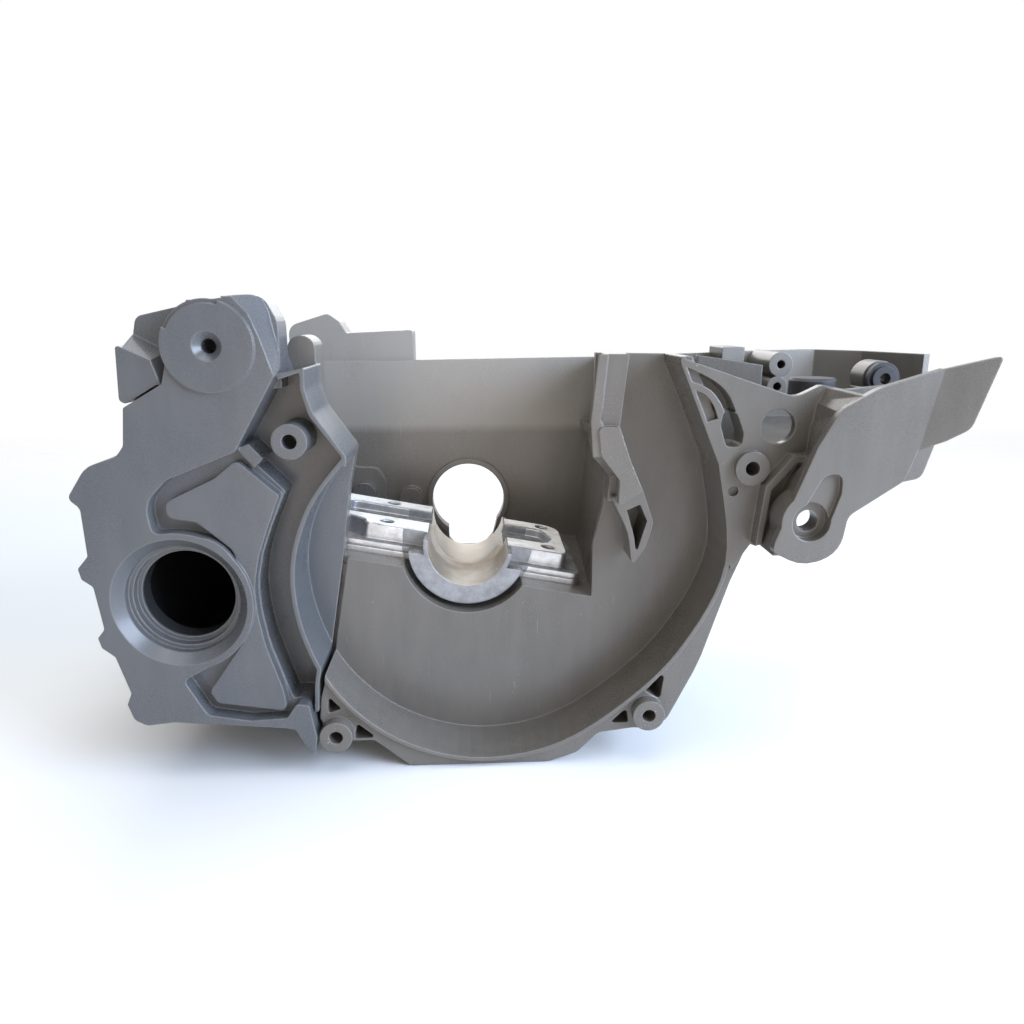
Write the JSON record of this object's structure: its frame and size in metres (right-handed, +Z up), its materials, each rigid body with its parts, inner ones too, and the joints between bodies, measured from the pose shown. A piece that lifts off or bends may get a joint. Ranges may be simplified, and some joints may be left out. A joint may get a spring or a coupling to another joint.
{
  "type": "chainsaw crankcase",
  "caption": "Chainsaw crankcase with moulded fan well, engine bay, welded oil tank half, cast engine pan and guide bar studs.",
  "frame": {"origin": "crank axis at the clutch side face of the wall that holds the crank bore", "axes": "+Z up, +Y along the crank axis towards the clutch side, +X towards the rear handle"},
  "size_m": [0.3006, 0.1454, 0.1583],
  "materials": {
    "case_plastic": "satin",
    "tank_plastic": "satin",
    "pan_aluminium": "satin",
    "white_sealant": "matte",
    "stud_steel": "satin",
    "black_rubber": "matte"
  },
  "bodies": {
    "root": {"main_housing": "case_plastic", "oil_tank_shell": "tank_plastic", "engine_pan": "pan_aluminium", "sealant_residue": "white_sealant", "bar_studs": "stud_steel", "rubber_buffer": "black_rubber", "rubber_grommet": "black_rubber"}
  },
  "joints": []
}
